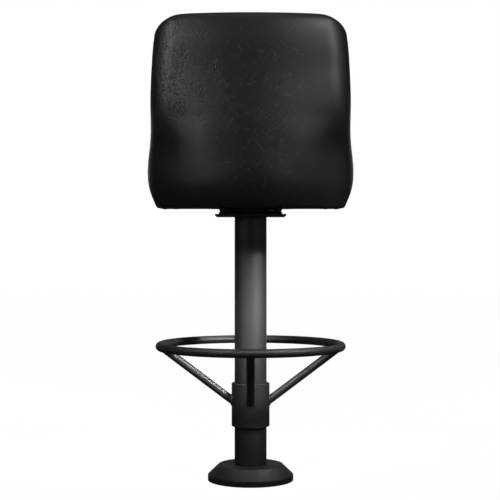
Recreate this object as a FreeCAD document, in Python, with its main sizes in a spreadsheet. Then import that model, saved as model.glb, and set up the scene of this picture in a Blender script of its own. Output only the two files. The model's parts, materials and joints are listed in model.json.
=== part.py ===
import FreeCAD
import Part
import Sketcher
import math
import os

from FreeCAD import Placement, Rotation, Vector

# A bolt-down bar stool: a floor flange under a spun cover, a round column, a foot ring that
# clamps on the column, a ball-race swivel, and an upholstered bucket seat.
# Millimetres. +Z is up, the column stands on the Z axis, the floor is z = 0, and the sitter
# faces -Y.

# Every row is one driving size: its name, its value and what it measures.
SIZES = (
    # Floor flange
    ("flange_diameter", 178.0, "round plate that is bolted to the floor"),
    ("flange_thickness", 9.5, "its thickness"),
    ("anchor_circle", 139.7, "circle through the floor bolts"),
    ("anchor_hole", 12.7, "floor bolt hole diameter"),
    ("anchor_count", 4, "floor bolts"),
    ("weld_leg", 5.0, "fillet weld round the foot of the column"),
    # Flange cover
    ("cover_diameter", 203.2, "outside of the vertical rim"),
    ("cover_crown", 153.0, "diameter of the flat top"),
    ("cover_height", 37.0, "floor to the flat top"),
    ("cover_rim", 13.0, "height of the vertical rim"),
    ("cover_wall", 2.0, "sheet thickness"),
    ("cover_gap", 0.6, "radial gap round the column"),
    ("cover_neck", 8.0, "depth of the edge turned down round the column"),
    # Column
    ("column_diameter", 76.2, "tube outside diameter"),
    ("column_wall", 3.0, "tube wall"),
    ("column_top", 626.8, "floor to the top end of the tube"),
    # Foot ring
    ("hoop_diameter", 431.8, "centre line of the round foot bar"),
    ("bar_diameter", 20.0, "foot bar"),
    ("strut_diameter", 19.0, "struts"),
    ("strut_count", 4, "struts, the first on the +X side"),
    ("hoop_height", 318.3, "floor to the centre of the foot bar"),
    ("strut_foot_height", 189.7, "floor to where a strut's axis meets the collar"),
    ("collar_diameter", 90.3, "collar outside diameter"),
    ("collar_gap", 0.4, "radial gap between collar and column"),
    ("collar_bottom", 128.0, "floor to the lower edge of the collar"),
    ("collar_length", 102.4, "collar height"),
    ("collar_chamfer", 1.0, "bevel on the collar's outer edges"),
    ("clamp_diameter", 8.0, "clamp screws of the collar"),
    ("clamp_height", 24.0, "clamp screws above the collar's lower edge"),
    ("clamp_spread", 45.0, "degrees from the sitter's side to each clamp screw"),
    ("clamp_gap", 0.3, "screw tip to column"),
    ("clamp_sink", 0.6, "outer end of a screw inside the collar's face"),
    ("clamp_key", 4.0, "hexagon socket across flats"),
    ("clamp_key_depth", 3.0, "depth of that socket"),
    # Swivel plates and races
    ("plate_width", 165.6, "square swivel plates"),
    ("plate_thickness", 3.2, "their thickness"),
    ("plate_corner", 8.0, "their corner radius"),
    ("race_height", 18.0, "between the two plates"),
    ("race_base", 155.0, "race diameter at its plate"),
    ("race_waist", 146.8, "race diameter at the split between the two"),
    ("race_split", 0.6, "gap between the two races"),
    ("race_sheet", 2.2, "pressed sheet of a race"),
    ("race_bore", 84.0, "hole in the middle of a race"),
    ("race_flange", 113.0, "outside of the flat flange of a race"),
    ("race_shelf", 121.0, "inside of the raised ball shelf"),
    ("race_lip", 1.5, "width of the outer lip of a race"),
    ("ball_diameter", 8.0, "swivel balls"),
    ("ball_circle", 132.0, "circle of the ball centres"),
    ("ball_count", 12, "balls"),
    ("ball_gap", 0.1, "ball to race and ball to cage"),
    ("groove_depth", 2.2, "depth of the groove that the balls run in"),
    ("cage_width", 10.0, "cage ring, inside to outside"),
    ("cage_thickness", 1.2, "cage ring thickness"),
    ("rivet_circle", 98.0, "circle of the rivets that hold a race"),
    ("rivet_diameter", 5.0, "rivet shank"),
    ("rivet_head", 9.0, "rivet head diameter"),
    ("rivet_head_height", 1.8, "rivet head height"),
    ("rivet_count", 4, "rivets in each race"),
    # King bolt
    ("king_diameter", 12.0, "king bolt"),
    ("king_play", 0.05, "radial play of the upper plate round the king bolt"),
    ("king_key", 18.0, "its head and nuts across flats"),
    ("king_head", 7.5, "its head height"),
    ("king_nut", 6.0, "height of its nuts"),
    ("king_stub", 1.5, "thread above the top nut"),
    ("washer_diameter", 26.0, "washer on the king bolt"),
    ("washer_thickness", 2.0, "its thickness"),
    ("washer_lift", 0.3, "washer above the upper plate"),
    # Seat base
    ("board_thickness", 15.0, "plywood seat board"),
    ("board_front", 176.0, "axis to the front edge of the board"),
    ("board_play", 0.3, "board edge to shell"),
    ("board_bore", 60.0, "hole over the king bolt"),
    ("bolt_spacing", 136.0, "square of the four seat bolts"),
    ("bolt_diameter", 6.0, "seat bolts"),
    ("bolt_key", 10.0, "their heads across flats"),
    ("bolt_head", 4.0, "their head height"),
    ("bolt_play", 0.2, "hole round a seat bolt, on the radius"),
    ("tee_barrel", 9.0, "tee nut barrel diameter"),
    ("tee_depth", 11.0, "tee nut barrel depth"),
    ("tee_flange", 19.0, "tee nut flange diameter"),
    ("tee_sheet", 1.5, "tee nut flange thickness"),
    ("cloth_thickness", 0.8, "dust cloth under the board"),
    ("cloth_hem", 6.0, "cloth edge inside the shell"),
    ("cloth_play", 3.0, "cloth edge to the swivel plate"),
    # Bucket, seen from above: every level has a width, a rear and a start of its rear corner
    ("seat_width", 483.2, "widest outside width, at the belly"),
    ("seat_rear", 212.0, "axis to the rear face at the belly"),
    ("back_height", 416.6, "underside of the board to the top of the back"),
    ("back_lean", 27.0, "rear face further back at the top than at the belly"),
    ("corner_start", 40.0, "axis to where the low sides turn into the rear"),
    ("corner_start_top", 150.0, "the same at the top of the back"),
    ("foot_drop", 6.2, "lower edge of the bucket below the board's underside"),
    ("top_round", 30.0, "rounding of the back's top edge"),
    ("top_round_turn", 60.0, "degrees that this rounding turns before the flat crest"),
    ("top_corner", 74.0, "rounding of the back's upper corners, seen from behind"),
    ("top_width", 437.0, "width of the top, where the rounded corners would meet"),
    # Bucket, seen from the side
    ("arm_front", 192.0, "axis to the front end of the arms"),
    ("arm_front_height", 112.0, "board's underside to the arm's top at its front end"),
    ("arm_rear_height", 152.0, "the same where the arm's top meets the wing of the back"),
    ("arm_length", 287.0, "front end to that meeting point"),
    ("arm_nose", 42.0, "rounding of the arm's front end"),
    ("wing_sweep", 90.0, "rounding from the arm's top into the wing"),
    ("wing_rake", 70.0, "wing edge further back at the top than at the arm"),
    # Bucket walls
    ("skin_thickness", 8.5, "outer cover with its thin padding"),
    ("shell_wall", 8.0, "moulded plywood shell"),
    ("shell_drop", 22.0, "shell edge below the padded rim"),
    ("shell_setback", 14.0, "shell edge behind the padded front edges"),
    ("back_wall", 60.0, "whole padded thickness of the back"),
    ("arm_wall", 46.0, "whole padded thickness of an arm"),
    ("back_pad_width", 250.0, "middle panel of the inside back"),
    ("rim_round", 12.0, "rounding between the inside padding and the rim"),
    ("cover_round", 5.0, "rounding between the outer cover and the rim"),
    ("edge_nearness", 0.01, "how near a surface an edge must run to lie on it"),
    # Seat cushion
    ("cushion_front", 214.0, "axis to the front of the cushion"),
    ("cushion_side_height", 104.0, "board's underside to the cushion's edge"),
    ("cushion_crown", 16.0, "crown above that edge"),
    ("cushion_nose", 34.0, "rounding of the front edge"),
    ("cushion_lip", 4.0, "cushion front below the board's underside"),
    ("cushion_play", 0.3, "cushion to its neighbours"),
    # Shared
    ("overrun", 5.0, "how far a cutter passes the faces that it cuts"),
)

doc = FreeCAD.newDocument("bar_stool")
sheet = doc.addObject("Spreadsheet::Sheet", "sizes")
for row, (alias, value, note) in enumerate(SIZES, 1):
    sheet.set(f"A{row}", alias)
    sheet.set(f"B{row}", str(value))
    sheet.set(f"C{row}", note)
    sheet.setAlias(f"B{row}", alias)
doc.recompute()

Z_AXIS = Vector(0, 0, 1)
FULL_TURN = 360.0
QUARTER_TURN = FULL_TURN / 4
EIGHTH_TURN = FULL_TURN / 8
SQUARE_CORNERS = 4
HEXAGON_SIDES = 6
HEXAGON_CORNER_SHARE = 1 / math.sqrt(3)
EDGE_TEST_SHARES = (0.2, 0.5, 0.8)
pieces = []


def size(name):
    """A driving size, read from the sheet."""
    return float(sheet.get(name))


def keep(piece, label, height=0.0, turned=Rotation()):
    """Name a finished piece, put it at its height and add it to the list to write."""
    piece.Label = label
    piece.Placement = Placement(Vector(0, 0, height), turned)
    pieces.append(piece)
    return piece


# Sketched pieces


def new_body(name):
    return doc.addObject("PartDesign::Body", name)


def origin_item(body, role):
    return next(item for item in body.Origin.OriginFeatures if item.Role == role)


def new_sketch(body, name, plane):
    sketch = body.newObject("Sketcher::SketchObject", name)
    sketch.AttachmentSupport = (origin_item(body, plane), "")
    sketch.MapMode = "FlatFace"
    return sketch


def pin_point(sketch, element, end, across, up):
    """Tie a point of a sketch to two expressions, measured from the sketch's origin."""
    for kind, axis, text in (("DistanceX", -2, across), ("DistanceY", -1, up)):
        if text == "0":
            sketch.addConstraint(Sketcher.Constraint("PointOnObject", element, end, axis))
            continue
        amount = sheet.evalExpression(text)
        index = sketch.addConstraint(Sketcher.Constraint(kind, -1, 1, element, end, amount))
        sketch.setExpression(f"Constraints[{index}]", text)


def corner_sketch(body, name, plane, corners):
    """A closed outline of straight lines, each corner tied to a pair of expressions."""
    sketch = new_sketch(body, name, plane)
    spots = [Vector(*(sheet.evalExpression(text) for text in corner), 0) for corner in corners]
    count = len(spots)
    for index, spot in enumerate(spots):
        sketch.addGeometry(Part.LineSegment(spot, spots[(index + 1) % count]))
    for index, (across, up) in enumerate(corners):
        following = (index + 1) % count
        sketch.addConstraint(Sketcher.Constraint("Coincident", index, 2, following, 1))
        pin_point(sketch, index, 1, across, up)
    return sketch


def circle_sketch(body, name, plane, across, up, radius):
    """A circle whose centre and radius are tied to expressions."""
    sketch = new_sketch(body, name, plane)
    centre = Vector(sheet.evalExpression(across), sheet.evalExpression(up), 0)
    amount = sheet.evalExpression(radius)
    sketch.addGeometry(Part.Circle(centre, Z_AXIS, amount))
    pin_point(sketch, 0, 3, across, up)
    index = sketch.addConstraint(Sketcher.Constraint("Radius", 0, amount))
    sketch.setExpression(f"Constraints[{index}]", radius)
    return sketch


def add_feature(body, kind, name, sketch):
    feature = body.newObject(kind, name)
    feature.Profile = (sketch, "")
    return feature


def pad(body, name, sketch, length):
    feature = add_feature(body, "PartDesign::Pad", name, sketch)
    feature.setExpression("Length", length)
    doc.recompute()
    return feature


def pocket_up(body, name, sketch):
    """Cut right through, upwards from the sketch."""
    before = body.Shape.Volume
    feature = add_feature(body, "PartDesign::Pocket", name, sketch)
    feature.Type = "ThroughAll"
    feature.Reversed = True
    doc.recompute()
    if not body.Shape.Volume < before:
        raise ValueError(f"{name} cuts nothing")
    return feature


def turn(body, kind, name, sketch):
    """Revolve a half section round the vertical axis."""
    feature = add_feature(body, kind, name, sketch)
    feature.ReferenceAxis = (sketch, ["V_Axis"])
    feature.Angle = FULL_TURN
    doc.recompute()
    return feature


def repeat_round(body, name, feature, count):
    pattern = body.newObject("PartDesign::PolarPattern", name)
    pattern.Originals = [feature]
    pattern.Axis = (origin_item(body, "Z_Axis"), [""])
    pattern.Angle = FULL_TURN
    pattern.setExpression("Occurrences", count)
    body.Tip = pattern
    doc.recompute()
    return pattern


# Pieces from simple solids


def cylinder(name, radius, height, base=""):
    solid = doc.addObject("Part::Cylinder", name)
    solid.setExpression("Radius", radius)
    solid.setExpression("Height", height)
    if base:
        solid.setExpression("Placement.Base.z", base)
    return solid


def hexagon(name, across_flats, height, base=""):
    solid = doc.addObject("Part::Prism", name)
    solid.Polygon = HEXAGON_SIDES
    solid.setExpression("Circumradius", f"{across_flats} * {HEXAGON_CORNER_SHARE}")
    solid.setExpression("Height", height)
    if base:
        solid.setExpression("Placement.Base.z", base)
    return solid


def join(kind, name, base, tool):
    result = doc.addObject(f"Part::{kind}", name)
    result.Base = base
    result.Tool = tool
    return result


def copies(name, master, places):
    """Copies of one solid at several places, as one piece of loose solids."""
    doc.recompute()
    group = doc.addObject("Part::Feature", name)
    group.Shape = Part.makeCompound([master.Shape.transformed(place.toMatrix()) for place in places])
    return group


def ring_places(radius, count, first_angle):
    """Places on a circle round the axis, each turned to face outwards."""
    for index in range(count):
        turned = Rotation(Z_AXIS, first_angle + index * FULL_TURN / count)
        yield Placement(turned.multVec(Vector(radius, 0, 0)), turned)


# Floor flange and its cover

floor_plate = new_body("floor_plate_body")
disc = circle_sketch(floor_plate, "flange_outline", "XY_Plane", "0", "0", "sizes.flange_diameter / 2")
pad(floor_plate, "flange_disc", disc, "sizes.flange_thickness")
anchor_place = "sizes.anchor_circle / 2 * sqrt(0.5)"
anchor = circle_sketch(
    floor_plate, "anchor_outline", "XY_Plane", anchor_place, anchor_place, "sizes.anchor_hole / 2"
)
anchor_cut = pocket_up(floor_plate, "anchor_cut", anchor)
repeat_round(floor_plate, "anchor_pattern", anchor_cut, "sizes.anchor_count")
keep(floor_plate, "floor_plate")

foot_weld = new_body("foot_weld_body")
bead = corner_sketch(foot_weld, "bead_section", "XZ_Plane", (
    ("sizes.column_diameter / 2", "0"),
    ("sizes.column_diameter / 2 + sizes.weld_leg", "0"),
    ("sizes.column_diameter / 2", "sizes.weld_leg"),
))
turn(foot_weld, "PartDesign::Revolution", "bead", bead)
keep(foot_weld, "foot_weld", size("flange_thickness"))

cover = new_body("flange_cover_body")
hole = "sizes.column_diameter / 2 + sizes.cover_gap"
cover_section = corner_sketch(cover, "cover_section", "XZ_Plane", (
    ("sizes.cover_diameter / 2", "0"),
    ("sizes.cover_diameter / 2", "sizes.cover_rim"),
    ("sizes.cover_crown / 2", "sizes.cover_height"),
    (hole, "sizes.cover_height"),
    (hole, "sizes.cover_height - sizes.cover_neck"),
    (f"{hole} + sizes.cover_wall", "sizes.cover_height - sizes.cover_neck"),
    (f"{hole} + sizes.cover_wall", "sizes.cover_height - sizes.cover_wall"),
    ("sizes.cover_crown / 2 - sizes.cover_wall / 2", "sizes.cover_height - sizes.cover_wall"),
    ("sizes.cover_diameter / 2 - sizes.cover_wall", "sizes.cover_rim - sizes.cover_wall / 2"),
    ("sizes.cover_diameter / 2 - sizes.cover_wall", "0"),
))
turn(cover, "PartDesign::Revolution", "cover_wall", cover_section)
keep(cover, "flange_cover")

# Column

column_length = "sizes.column_top - sizes.flange_thickness"
column = join(
    "Cut",
    "column",
    cylinder("column_outside", "sizes.column_diameter / 2", column_length),
    cylinder("column_inside", "sizes.column_diameter / 2 - sizes.column_wall", column_length),
)
keep(column, "column_tube", size("flange_thickness"))

# Foot ring: a collar, a round bar and the struts between them

collar = new_body("collar_body")
collar_inside = "sizes.column_diameter / 2 + sizes.collar_gap"
collar_outside = "sizes.collar_diameter / 2"
collar_section = corner_sketch(collar, "collar_section", "XZ_Plane", (
    (collar_inside, "0"),
    (f"{collar_outside} - sizes.collar_chamfer", "0"),
    (collar_outside, "sizes.collar_chamfer"),
    (collar_outside, "sizes.collar_length - sizes.collar_chamfer"),
    (f"{collar_outside} - sizes.collar_chamfer", "sizes.collar_length"),
    (collar_inside, "sizes.collar_length"),
))
turn(collar, "PartDesign::Revolution", "collar_wall", collar_section)

clamp_places = [
    Placement(Vector(0, 0, size("clamp_height")), Rotation(Z_AXIS, side * size("clamp_spread")))
    for side in (-1, 1)
]
# A clamp screw is drawn along -Y, towards the sitter, and then turned to its side.
towards_sitter = Rotation(Vector(1, 0, 0), QUARTER_TURN)
clamp_bore = cylinder("clamp_bore", "sizes.clamp_diameter / 2", "sizes.collar_diameter")
clamp_bore.Placement = Placement(Vector(), towards_sitter)
clamp_bores = copies("clamp_bores", clamp_bore, clamp_places)
keep(join("Cut", "collar", collar, clamp_bores), "footring_collar", size("collar_bottom"))

clamp_length = (
    "((sizes.collar_diameter - sizes.column_diameter) / 2 - sizes.clamp_sink - sizes.clamp_gap)"
)
clamp_screw = join(
    "Cut",
    "clamp_screw",
    cylinder("clamp_shank", "sizes.clamp_diameter / 2", clamp_length),
    hexagon(
        "clamp_socket",
        "sizes.clamp_key",
        "sizes.clamp_key_depth + sizes.overrun",
        f"{clamp_length} - sizes.clamp_key_depth",
    ),
)
clamp_start = size("column_diameter") / 2 + size("clamp_gap")
clamp_screw.Placement = Placement(Vector(0, -clamp_start, 0), towards_sitter)
clamp_screws = copies("clamp_screw_pair", clamp_screw, clamp_places)
keep(clamp_screws, "collar_set_screws", size("collar_bottom"))

hoop = doc.addObject("Part::Torus", "hoop")
hoop.setExpression("Radius1", "sizes.hoop_diameter / 2")
hoop.setExpression("Radius2", "sizes.bar_diameter / 2")
keep(hoop, "footring_hoop", size("hoop_height"))

# A strut's axis rises from the collar's face to the centre of the foot bar. The bar starts one
# diameter inside the collar, and is coped to the collar and to the foot bar.
strut_reach = (size("hoop_diameter") - size("collar_diameter")) / 2
strut_rise = size("hoop_height") - size("strut_foot_height")
strut_lean = Rotation(Vector(0, 1, 0), math.degrees(math.atan2(strut_reach, strut_rise)))
strut_foot = Vector(size("collar_diameter") / 2, 0, size("strut_foot_height"))
strut_foot -= strut_lean.multVec(Vector(0, 0, size("strut_diameter")))
cope = join(
    "Fuse",
    "strut_cope",
    cylinder("collar_core", "sizes.collar_diameter / 2", "sizes.hoop_height"),
    hoop,
)
for index in range(int(size("strut_count"))):
    number = index + 1
    bar = cylinder(
        f"strut_bar_{number}",
        "sizes.strut_diameter / 2",
        "sqrt(((sizes.hoop_diameter - sizes.collar_diameter) / 2) ^ 2"
        " + (sizes.hoop_height - sizes.strut_foot_height) ^ 2) + sizes.strut_diameter",
    )
    around = Rotation(Z_AXIS, index * FULL_TURN / size("strut_count"))
    bar.Placement = Placement(around.multVec(strut_foot), around * strut_lean)
    keep(join("Cut", f"strut_{number}", bar, cope), f"footring_strut_{number}")

# Swivel: a square plate on the column, two pressed races with balls between them, and a
# square plate under the seat. A king bolt through both plates holds them together.


def square_plate(name, centre_hole):
    """A square plate with rounded corners, a hole for the king bolt and the rivet holes."""
    body = new_body(name)
    half = "sizes.plate_width / 2"
    outline = corner_sketch(body, f"{name}_outline", "XY_Plane", (
        (f"-{half}", f"-{half}"),
        (half, f"-{half}"),
        (half, half),
        (f"-{half}", half),
    ))
    slab = pad(body, f"{name}_slab", outline, "sizes.plate_thickness")
    rounding = body.newObject("PartDesign::Fillet", f"{name}_corners")
    upright = [
        f"Edge{number}"
        for number, edge in enumerate(slab.Shape.Edges, 1)
        if edge.BoundBox.ZLength > edge.BoundBox.XLength + edge.BoundBox.YLength
    ]
    rounding.Base = (slab, upright)
    rounding.setExpression("Radius", "sizes.plate_corner")
    doc.recompute()
    centre = circle_sketch(body, f"{name}_centre", "XY_Plane", "0", "0", centre_hole)
    pocket_up(body, f"{name}_bore", centre)
    rivet_holes(body, name)
    return body


def rivet_holes(body, name):
    place = "sizes.rivet_circle / 2 * sqrt(0.5)"
    outline = circle_sketch(body, f"{name}_rivet", "XY_Plane", place, place, "sizes.rivet_diameter / 2")
    cut = pocket_up(body, f"{name}_rivet_cut", outline)
    repeat_round(body, f"{name}_rivet_pattern", cut, "sizes.rivet_count")


lower_plate_top = size("column_top") + size("plate_thickness")
upper_plate_foot = lower_plate_top + size("race_height")
seat_base = upper_plate_foot + size("plate_thickness")

keep(square_plate("lower_plate", "sizes.king_diameter / 2"), "column_top_plate", size("column_top"))
upper_plate = square_plate("upper_plate", "sizes.king_diameter / 2 + sizes.king_play")
bolt_place = "sizes.bolt_spacing / 2"
bolt_hole = circle_sketch(
    upper_plate,
    "seat_bolt_outline",
    "XY_Plane",
    bolt_place,
    bolt_place,
    "sizes.bolt_diameter / 2 + sizes.bolt_play",
)
bolt_cut = pocket_up(upper_plate, "seat_bolt_cut", bolt_hole)
repeat_round(upper_plate, "seat_bolt_pattern", bolt_cut, str(SQUARE_CORNERS))
keep(upper_plate, "swivel_seat_plate", upper_plate_foot)

half_race = "sizes.race_height / 2"
lip_top = f"({half_race} - sizes.race_split / 2)"
groove_floor = f"({half_race} - sizes.ball_diameter / 2 - sizes.ball_gap)"
shelf_top = f"({groove_floor} + sizes.groove_depth)"
shelf_under = f"({groove_floor} - sizes.race_sheet)"
skirt_run = "(sizes.race_base - sizes.race_waist) / 2"


def race(name):
    """Half of the ball race: an inner flange, a grooved shelf and an outer skirt."""
    body = new_body(name)
    section = corner_sketch(body, f"{name}_section", "XZ_Plane", (
        ("sizes.race_bore / 2", "0"),
        ("sizes.race_bore / 2", "sizes.race_sheet"),
        ("sizes.race_flange / 2", "sizes.race_sheet"),
        ("sizes.race_shelf / 2", shelf_top),
        ("sizes.race_waist / 2 - sizes.race_lip", shelf_top),
        ("sizes.race_waist / 2 - sizes.race_lip", lip_top),
        ("sizes.race_waist / 2", lip_top),
        ("sizes.race_base / 2", "0"),
        ("sizes.race_base / 2 - sizes.race_sheet", "0"),
        (f"sizes.race_base / 2 - sizes.race_sheet - {skirt_run} * {shelf_under} / {lip_top}", shelf_under),
        ("sizes.race_shelf / 2 + sizes.race_sheet", shelf_under),
        ("sizes.race_flange / 2 + sizes.race_sheet", "0"),
    ))
    turn(body, "PartDesign::Revolution", f"{name}_pressing", section)
    ball_room = circle_sketch(
        body,
        f"{name}_groove",
        "XZ_Plane",
        "sizes.ball_circle / 2",
        half_race,
        "sizes.ball_diameter / 2 + sizes.ball_gap",
    )
    turn(body, "PartDesign::Groove", f"{name}_ball_groove", ball_room)
    rivet_holes(body, name)
    return body


upside_down = Rotation(Vector(1, 0, 0), FULL_TURN / 2)
keep(race("lower_race"), "swivel_lower_race", lower_plate_top)
keep(race("upper_race"), "swivel_upper_race", upper_plate_foot, upside_down)

rivet_length = "(sizes.plate_thickness + sizes.race_sheet)"
rivet = join(
    "Fuse",
    "rivet",
    cylinder("rivet_shank", "sizes.rivet_diameter / 2", rivet_length),
    cylinder("rivet_cap", "sizes.rivet_head / 2", "sizes.rivet_head_height", rivet_length),
)
rivet_places = list(ring_places(size("rivet_circle") / 2, int(size("rivet_count")), EIGHTH_TURN))
keep(copies("lower_rivet_set", rivet, rivet_places), "lower_race_rivets", size("column_top"))
keep(copies("upper_rivet_set", rivet, rivet_places), "upper_race_rivets", seat_base, upside_down)

cage = new_body("cage_body")
cage_outside = "sizes.ball_circle / 2 + sizes.cage_width / 2"
cage_inside = "sizes.ball_circle / 2 - sizes.cage_width / 2"
cage_disc = circle_sketch(cage, "cage_outline", "XY_Plane", "0", "0", cage_outside)
pad(cage, "cage_disc", cage_disc, "sizes.cage_thickness")
pocket_up(cage, "cage_bore", circle_sketch(cage, "cage_hole", "XY_Plane", "0", "0", cage_inside))
ball_seat = circle_sketch(
    cage, "ball_seat", "XY_Plane", "sizes.ball_circle / 2", "0", "sizes.ball_diameter / 2 + sizes.ball_gap"
)
ball_cut = pocket_up(cage, "ball_cut", ball_seat)
repeat_round(cage, "ball_pattern", ball_cut, "sizes.ball_count")
race_middle = lower_plate_top + size("race_height") / 2
keep(cage, "ball_cage", race_middle - size("cage_thickness") / 2)

ball = doc.addObject("Part::Sphere", "ball")
ball.setExpression("Radius", "sizes.ball_diameter / 2")
ball_places = ring_places(size("ball_circle") / 2, int(size("ball_count")), 0)
keep(copies("ball_set", ball, ball_places), "swivel_balls", race_middle)

# King bolt, from the underside of the lower plate to the nut above the upper plate

king_rise = (
    "(2 * sizes.plate_thickness + sizes.race_height + sizes.washer_lift"
    " + sizes.washer_thickness + sizes.king_nut + sizes.king_stub)"
)
king_bolt = join(
    "Fuse",
    "king",
    hexagon("king_cap", "sizes.king_key", "sizes.king_head"),
    cylinder("king_shank", "sizes.king_diameter / 2", king_rise, "sizes.king_head"),
)
keep(king_bolt, "king_bolt", size("column_top") - size("king_head"))


def king_nut(name):
    hole = cylinder(f"{name}_hole", "sizes.king_diameter / 2", "sizes.king_nut")
    return join("Cut", name, hexagon(f"{name}_block", "sizes.king_key", "sizes.king_nut"), hole)


washer = join(
    "Cut",
    "washer",
    cylinder("washer_disc", "sizes.washer_diameter / 2", "sizes.washer_thickness"),
    cylinder("washer_hole", "sizes.king_diameter / 2", "sizes.washer_thickness"),
)
washer_foot = seat_base + size("washer_lift")
keep(king_nut("lower_nut"), "king_bolt_lower_nut", lower_plate_top)
keep(washer, "king_bolt_washer", washer_foot)
keep(king_nut("upper_nut"), "king_bolt_upper_nut", washer_foot + size("washer_thickness"))

# Bucket seat. All of it is drawn from the underside of the seat board, and then lifted.

# One row for each level of the bucket, as shares: height of the back height (the first row is
# the lower edge instead), width of the seat width, rear of the seat rear, lean of the back lean,
# start of the way from the low corner start to the top one, and corner rounding of its depth.
LEVEL_SHARES = (
    (0.0, 0.911, 0.849, 0.0, 0.0, 0.60),
    (0.030, 0.945, 0.925, 0.0, 0.0, 0.60),
    (0.086, 0.980, 0.972, 0.0, 0.0, 0.60),
    (0.182, 1.0, 1.0, 0.0, 0.0, 0.60),
    (0.257, 0.991, 1.0, 0.07, 0.04, 0.62),
    (0.36, 0.9615, 1.0, 0.20, 0.32, 0.66),
    (0.52, 0.9495, 1.0, 0.38, 0.66, 0.72),
    (0.73, 0.933, 1.0, 0.68, 0.85, 0.76),
)
# The rounded top edge: three steps of an arc over one last outline.
TOP_SHARES = (0.893, 1.0, 0.96, 1.0, 0.78)
TOP_STEPS = 3


def blend_size(low, high, share):
    return size(low) + (size(high) - size(low)) * share


def bucket_outline(half_width, rear, start, corner_share, front, height):
    """The bucket from above: straight sides, a round corner each side and a round rear,
    all tangent to each other, closed by a straight front."""
    depth = rear - start
    corner = depth * corner_share
    rear_radius = ((half_width - corner) ** 2 + depth**2 - corner**2) / (2 * (depth - corner))
    rear_centre = Vector(0, rear - rear_radius, height)
    corner_centre = Vector(half_width - corner, start, height)
    outwards = (corner_centre - rear_centre).normalize()
    half_way = (outwards + Vector(1, 0, 0)).normalize()
    front_corner = Vector(half_width, -front, height)
    side_end = Vector(half_width, start, height)
    corner_middle = corner_centre + half_way * corner
    rear_end = rear_centre + outwards * rear_radius
    rear_middle = Vector(0, rear, height)

    def other(point):
        return Vector(-point.x, point.y, point.z)

    return Part.Wire([
        Part.LineSegment(front_corner, side_end).toShape(),
        Part.Arc(side_end, corner_middle, rear_end).toShape(),
        Part.Arc(rear_end, rear_middle, other(rear_end)).toShape(),
        Part.Arc(other(rear_end), other(corner_middle), other(side_end)).toShape(),
        Part.LineSegment(other(side_end), other(front_corner)).toShape(),
        Part.LineSegment(other(front_corner), front_corner).toShape(),
    ])


def bucket_levels():
    """Every level's height, half width, rear, share of the way from the low corner start to the
    top one, that corner start, corner rounding share and inset of the rounded top."""
    for height_share, width_share, rear_share, lean_share, start_share, corner_share in LEVEL_SHARES:
        height = size("back_height") * height_share if height_share else -size("foot_drop")
        rear = size("seat_rear") * rear_share + size("back_lean") * lean_share
        start = blend_size("corner_start", "corner_start_top", start_share)
        yield height, size("seat_width") / 2 * width_share, rear, start_share, start, corner_share, 0.0
    width_share, rear_share, lean_share, start_share, corner_share = TOP_SHARES
    rear = size("seat_rear") * rear_share + size("back_lean") * lean_share
    start = blend_size("corner_start", "corner_start_top", start_share)
    full_angle = math.radians(size("top_round_turn"))
    for step in range(TOP_STEPS):
        angle = full_angle * step / (TOP_STEPS - 1)
        height = size("back_height") - size("top_round") * (math.sin(full_angle) - math.sin(angle))
        inset = size("top_round") * (1 - math.cos(angle))
        yield height, size("seat_width") / 2 * width_share, rear, start_share, start, corner_share, inset


def bucket_block(name, arm_inset, rear_inset, rounding_side, overruns):
    """The bucket's outside drawn in by some thickness, as one solid block. The arms' thickness
    turns into the back's as the wings rise. The rounding side is 1 where the top edge rounds
    inwards and -1 where it rounds outwards. A block that cuts another one passes its front by
    one more overrun."""
    front = size("cushion_front") + size("overrun") * overruns
    wires = []
    for height, half_width, rear, start_share, start, corner_share, inset in bucket_levels():
        inset *= rounding_side
        side_inset = arm_inset + (rear_inset - arm_inset) * start_share
        wires.append(bucket_outline(
            half_width - side_inset - inset,
            rear - rear_inset - inset,
            start,
            corner_share,
            front,
            height,
        ))
    block = doc.addObject("Part::Feature", name)
    block.Shape = Part.makeLoft(wires, True, False)
    return block


def rounded_wire(corners):
    """A closed wire through corners given as (point, radius), with tangent arcs."""
    ends = []
    count = len(corners)
    for index, (point, radius) in enumerate(corners):
        before = (corners[index - 1][0] - point).normalize()
        after = (corners[(index + 1) % count][0] - point).normalize()
        half_angle = before.getAngle(after) / 2
        reach = radius / math.tan(half_angle)
        bisector = (before + after).normalize()
        centre = point + bisector * (radius / math.sin(half_angle))
        ends.append((point + before * reach, centre - bisector * radius, point + after * reach, radius))
    edges = []
    for index, (arc_start, arc_middle, arc_end, radius) in enumerate(ends):
        if radius:
            edges.append(Part.Arc(arc_start, arc_middle, arc_end).toShape())
        edges.append(Part.LineSegment(arc_end, ends[(index + 1) % count][0]).toShape())
    return Part.Wire(edges)


def prism(name, corners, direction):
    """A flat outline with rounded corners, pushed both ways along a direction."""
    face = Part.Face(rounded_wire(corners))
    block = doc.addObject("Part::Feature", name)
    block.Shape = face.translated(-direction).extrude(direction * 2)
    return block


def side_window(name, back, down):
    """What the bucket keeps, seen from the side: arms that sweep up into the wings of the back.
    It can be set back and lowered as a whole."""
    top = size("back_height") + size("overrun")
    rake_slope = size("wing_rake") / (size("back_height") - size("arm_rear_height"))
    wing_foot = size("arm_length") - size("arm_front")
    wing_top = wing_foot + rake_slope * (top - size("arm_rear_height"))
    far_rear = size("seat_rear") + size("back_lean") + 2 * size("overrun")
    low = -size("foot_drop") - size("overrun")
    corners = (
        (-size("arm_front"), low, 0),
        (-size("arm_front"), size("arm_front_height"), size("arm_nose")),
        (wing_foot, size("arm_rear_height"), size("wing_sweep")),
        (wing_top, top, 0),
        (far_rear, top, 0),
        (far_rear, low, 0),
    )
    placed = []
    for along, up, radius in corners:
        lowered = up - down if up > 0 else up
        placed.append((Vector(0, along + back, lowered), radius))
    return prism(name, placed, Vector(size("seat_width"), 0, 0))


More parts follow.
